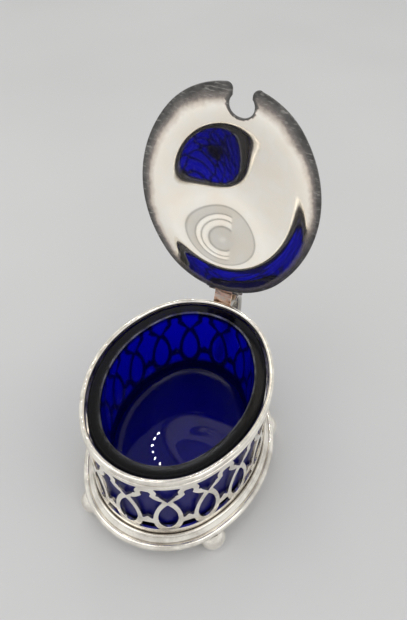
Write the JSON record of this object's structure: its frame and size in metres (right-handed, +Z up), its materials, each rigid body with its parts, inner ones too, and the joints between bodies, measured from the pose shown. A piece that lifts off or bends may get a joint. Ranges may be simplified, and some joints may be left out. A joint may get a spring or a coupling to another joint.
{
  "type": "mustard pot",
  "caption": "Oval pierced silver mustard pot on ball feet, with a cobalt glass liner, a strap handle and a hinged domed lid with a spoon notch.",
  "frame": {"origin": "on the table under the centre of the oval body", "axes": "+Z up, +Y from the front to the hinge, +X to the right across the body"},
  "size_m": [0.0596, 0.0866, 0.1144],
  "materials": {
    "silver": "polished silver with grey tarnish in the corners and fine scratches",
    "lid_silver": "mirror-polished silver, tarnished grey and brown towards the edge",
    "cobalt_glass": "clear cobalt blue glass with a ground rim",
    "worn_hinge": "silver worn through to copper, streaked",
    "dark_pin": "dark tarnished metal"
  },
  "bodies": {
    "pot": {"pierced_gallery": "silver", "rim_wire": "silver", "base_step_ring": "silver", "base_flange": "silver", "floor_plate": "silver", "foot_front_left": "silver", "foot_front_right": "silver", "foot_back_right": "silver", "foot_back_left": "silver", "glass_liner": "cobalt_glass", "handle": "silver", "body_hinge_plate": "worn_hinge", "body_knuckle": "worn_hinge"},
    "lid": {"lid": "lid_silver", "lid_hinge_leaf": "silver", "lid_knuckle_left": "dark_pin", "lid_knuckle_right": "dark_pin", "hinge_pin": "dark_pin", "thumbpiece": "silver"}
  },
  "joints": [
    {"name": "lid_hinge", "type": "hinge", "parent": "pot", "child": "lid", "pos_m": [0, 0.0354, 0.0464], "axis": [1, 0, 0], "range_deg": [0, 93]}
  ]
}
